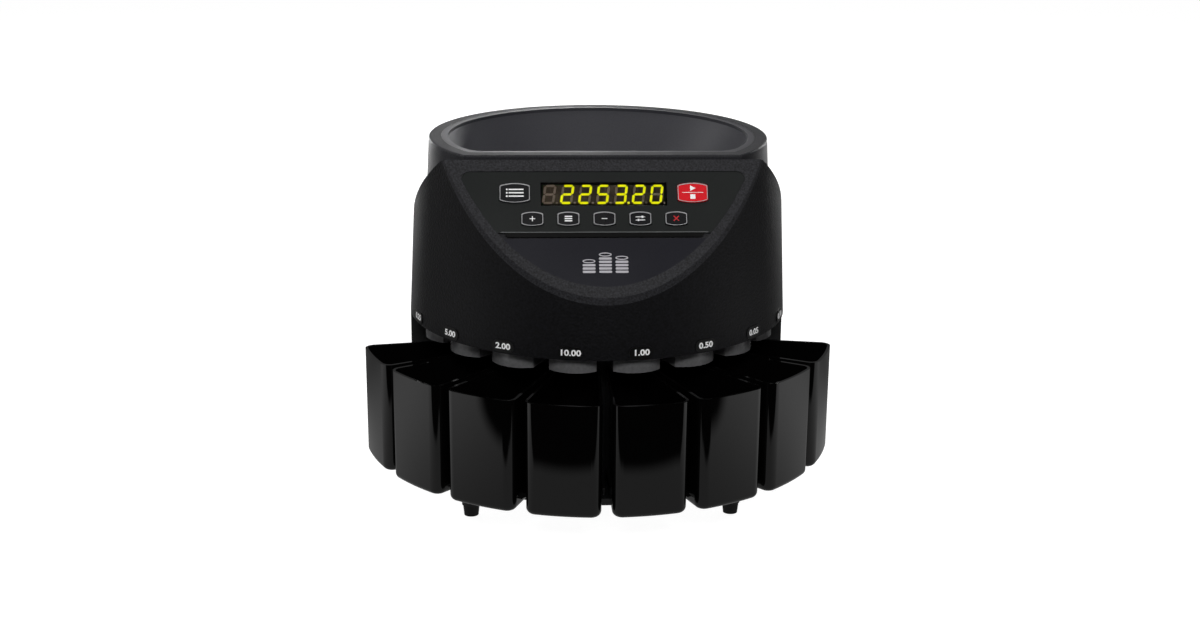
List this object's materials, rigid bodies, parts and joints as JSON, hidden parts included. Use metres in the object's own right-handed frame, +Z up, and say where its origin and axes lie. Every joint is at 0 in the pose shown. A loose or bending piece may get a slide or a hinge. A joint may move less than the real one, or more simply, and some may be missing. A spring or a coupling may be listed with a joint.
{
  "type": "coin sorting machine",
  "caption": "Tabletop coin sorter: round hinged hopper with a sloped key and display panel over a sorting disc, and a ring of pull-out bins under the drum.",
  "frame": {"origin": "on the table, under the middle of the machine's bounding box", "axes": "+X to the machine's right as seen from the front, +Y to its back, +Z up; the panel and bins face -Y"},
  "size_m": [0.3502, 0.3289, 0.266],
  "materials": {
    "housing_black": "fine texture",
    "foot_rubber": "matte",
    "screw_steel": "zinc plated",
    "deck_grey": "satin",
    "rail_steel": "satin",
    "sensor_black": "matte",
    "frame_steel": "zinc plated",
    "bearing_steel": "ground",
    "motor_steel": "zinc plated",
    "belt_rubber": "matte",
    "board_green": "solder mask",
    "supply_steel": "laminated",
    "socket_black": "smooth",
    "hinge_steel": "black coated",
    "shaft_steel": "ground",
    "disc_grey": "satin",
    "finger_rubber": "flexible",
    "pulley_white": "satin",
    "drum_black": "fine spark texture",
    "bezel_grey": "fine spark texture",
    "overlay_dark": "satin membrane",
    "lower_panel_dark": "satin",
    "display_lens": "smoked",
    "display_black": "matte",
    "hopper_grey": "fine spark texture",
    "bowl_grey": "satin",
    "label_black": "gloss",
    "rocker_black": "gloss",
    "chute_grey": "gloss",
    "bin_black": "high gloss",
    "key_red": "satin membrane",
    "key_dark": "satin membrane"
  },
  "bodies": {
    "base": {"base_plate": "housing_black", "rubber_feet": "foot_rubber", "base_screws": "screw_steel", "lower_housing": "housing_black", "sorting_deck": "deck_grey", "coin_rail": "rail_steel", "coin_chute_1": "chute_grey", "coin_chute_2": "chute_grey", "coin_chute_3": "chute_grey", "coin_chute_4": "chute_grey", "coin_chute_5": "chute_grey", "coin_chute_6": "chute_grey", "coin_chute_7": "chute_grey", "coin_chute_8": "chute_grey", "coin_sensors": "sensor_black", "drive_frame": "frame_steel", "shaft_bearings": "bearing_steel", "main_motor": "motor_steel", "drive_belt": "belt_rubber", "main_board": "board_green", "power_supply": "supply_steel", "power_inlet": "socket_black", "data_port": "socket_black", "hinge_lower_leaf": "hinge_steel", "hinge_pin": "hinge_steel"},
    "rotor": {"main_shaft": "shaft_steel", "sorting_disc": "disc_grey", "rotor_cap": "disc_grey", "coin_fingers": "finger_rubber", "drive_pulley": "pulley_white"},
    "motor_rotor": {"motor_pulley": "pulley_white"},
    "upper_unit": {"upper_casing": "drum_black", "panel_bezel": "bezel_grey", "keypad_overlay": "overlay_dark", "lower_panel": "lower_panel_dark", "display_window": "display_lens", "display_module": "display_black", "control_board": "board_green", "hopper_ring": "hopper_grey", "hopper_bowl": "bowl_grey", "value_labels": "label_black", "hinge_upper_leaf": "hinge_steel"},
    "rocker": {"power_switch": "rocker_black"},
    "key_list_body": {"key_list": "key_dark"},
    "key_start_body": {"key_start": "key_red"},
    "key_plus_body": {"key_plus": "key_dark"},
    "key_batch_body": {"key_batch": "key_dark"},
    "key_minus_body": {"key_minus": "key_dark"},
    "key_settings_body": {"key_settings": "key_dark"},
    "key_clear_body": {"key_clear": "key_dark"},
    "bin_1": {"coin_bin_1": "bin_black"},
    "bin_2": {"coin_bin_2": "bin_black"},
    "bin_3": {"coin_bin_3": "bin_black"},
    "bin_4": {"coin_bin_4": "bin_black"},
    "bin_5": {"coin_bin_5": "bin_black"},
    "bin_6": {"coin_bin_6": "bin_black"},
    "bin_7": {"coin_bin_7": "bin_black"},
    "bin_8": {"coin_bin_8": "bin_black"}
  },
  "joints": [
    {"name": "disc_spin", "type": "hinge", "parent": "base", "child": "rotor", "pos_m": [0, 0.0149, 0.14], "axis": [0, 0, 1], "continuous": true},
    {"name": "motor_spin", "type": "hinge", "parent": "base", "child": "motor_rotor", "pos_m": [0, 0.0994, 0.04], "axis": [0, 0, 1], "continuous": true},
    {"name": "cover_hinge", "type": "hinge", "parent": "base", "child": "upper_unit", "pos_m": [0, 0.1586, 0.1333], "axis": [-1, 0, 0], "range_deg": [0, 75]},
    {"name": "switch_rock", "type": "hinge", "parent": "base", "child": "rocker", "pos_m": [0.01, 0.1479, 0.072], "axis": [1, 0, 0], "range_deg": [0, 14]},
    {"name": "key_list_press", "type": "slide", "parent": "upper_unit", "child": "key_list_body", "axis": [0, 0.7971, -0.6039], "range_m": [0, 0.0006], "stiffness_N_per_m": 1500, "springref_m": -0.0003},
    {"name": "key_start_press", "type": "slide", "parent": "upper_unit", "child": "key_start_body", "axis": [0, 0.7971, -0.6039], "range_m": [0, 0.0006], "stiffness_N_per_m": 1500, "springref_m": -0.0003},
    {"name": "key_plus_press", "type": "slide", "parent": "upper_unit", "child": "key_plus_body", "axis": [0, 0.7971, -0.6039], "range_m": [0, 0.0006], "stiffness_N_per_m": 1500, "springref_m": -0.0003},
    {"name": "key_batch_press", "type": "slide", "parent": "upper_unit", "child": "key_batch_body", "axis": [0, 0.7971, -0.6039], "range_m": [0, 0.0006], "stiffness_N_per_m": 1500, "springref_m": -0.0003},
    {"name": "key_minus_press", "type": "slide", "parent": "upper_unit", "child": "key_minus_body", "axis": [0, 0.7971, -0.6039], "range_m": [0, 0.0006], "stiffness_N_per_m": 1500, "springref_m": -0.0003},
    {"name": "key_settings_press", "type": "slide", "parent": "upper_unit", "child": "key_settings_body", "axis": [0, 0.7971, -0.6039], "range_m": [0, 0.0006], "stiffness_N_per_m": 1500, "springref_m": -0.0003},
    {"name": "key_clear_press", "type": "slide", "parent": "upper_unit", "child": "key_clear_body", "axis": [0, 0.7971, -0.6039], "range_m": [0, 0.0006], "stiffness_N_per_m": 1500, "springref_m": -0.0003},
    {"name": "bin_1_pull", "type": "slide", "parent": "base", "child": "bin_1", "axis": [-0.9428, -0.3334, 0], "range_m": [0, 0.1]},
    {"name": "bin_2_pull", "type": "slide", "parent": "base", "child": "bin_2", "axis": [-0.7702, -0.6378, 0], "range_m": [0, 0.1]},
    {"name": "bin_3_pull", "type": "slide", "parent": "base", "child": "bin_3", "axis": [-0.5034, -0.8641, 0], "range_m": [0, 0.1]},
    {"name": "bin_4_pull", "type": "slide", "parent": "base", "child": "bin_4", "axis": [-0.1749, -0.9846, 0], "range_m": [0, 0.1]},
    {"name": "bin_5_pull", "type": "slide", "parent": "base", "child": "bin_5", "axis": [0.1749, -0.9846, 0], "range_m": [0, 0.1]},
    {"name": "bin_6_pull", "type": "slide", "parent": "base", "child": "bin_6", "axis": [0.5034, -0.8641, 0], "range_m": [0, 0.1]},
    {"name": "bin_7_pull", "type": "slide", "parent": "base", "child": "bin_7", "axis": [0.7702, -0.6378, 0], "range_m": [0, 0.1]},
    {"name": "bin_8_pull", "type": "slide", "parent": "base", "child": "bin_8", "axis": [0.9428, -0.3334, 0], "range_m": [0, 0.1]}
  ],
  "couplings": [
    {"joint": "motor_spin", "follows": "disc_spin", "ratio": 4}
  ]
}
